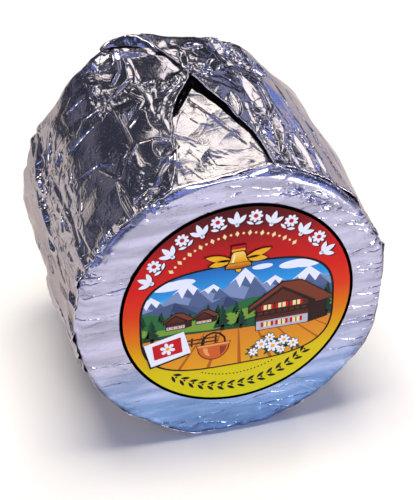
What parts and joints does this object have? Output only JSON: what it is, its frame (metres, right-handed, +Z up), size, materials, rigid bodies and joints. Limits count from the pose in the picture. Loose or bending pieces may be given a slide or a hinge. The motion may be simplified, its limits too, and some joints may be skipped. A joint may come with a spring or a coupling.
{
  "type": "foil-wrapped cheese drum",
  "caption": "Drum of semi-hard cheese shut in crinkled aluminium foil, lying on its side, with a round printed label on its front face.",
  "frame": {"origin": "on the surface that the drum lies on, under the middle of its box", "axes": "+Y along the drum's axis from the labelled face to the gathered back, +X to the right of someone who faces the label, +Z up"},
  "size_m": [0.1115, 0.0958, 0.1126],
  "materials": {
    "foil": "crinkled bright household foil",
    "label": "printed and varnished paper"
  },
  "bodies": {
    "root": {"wrapped_cheese": "foil", "label": "label"}
  },
  "joints": []
}
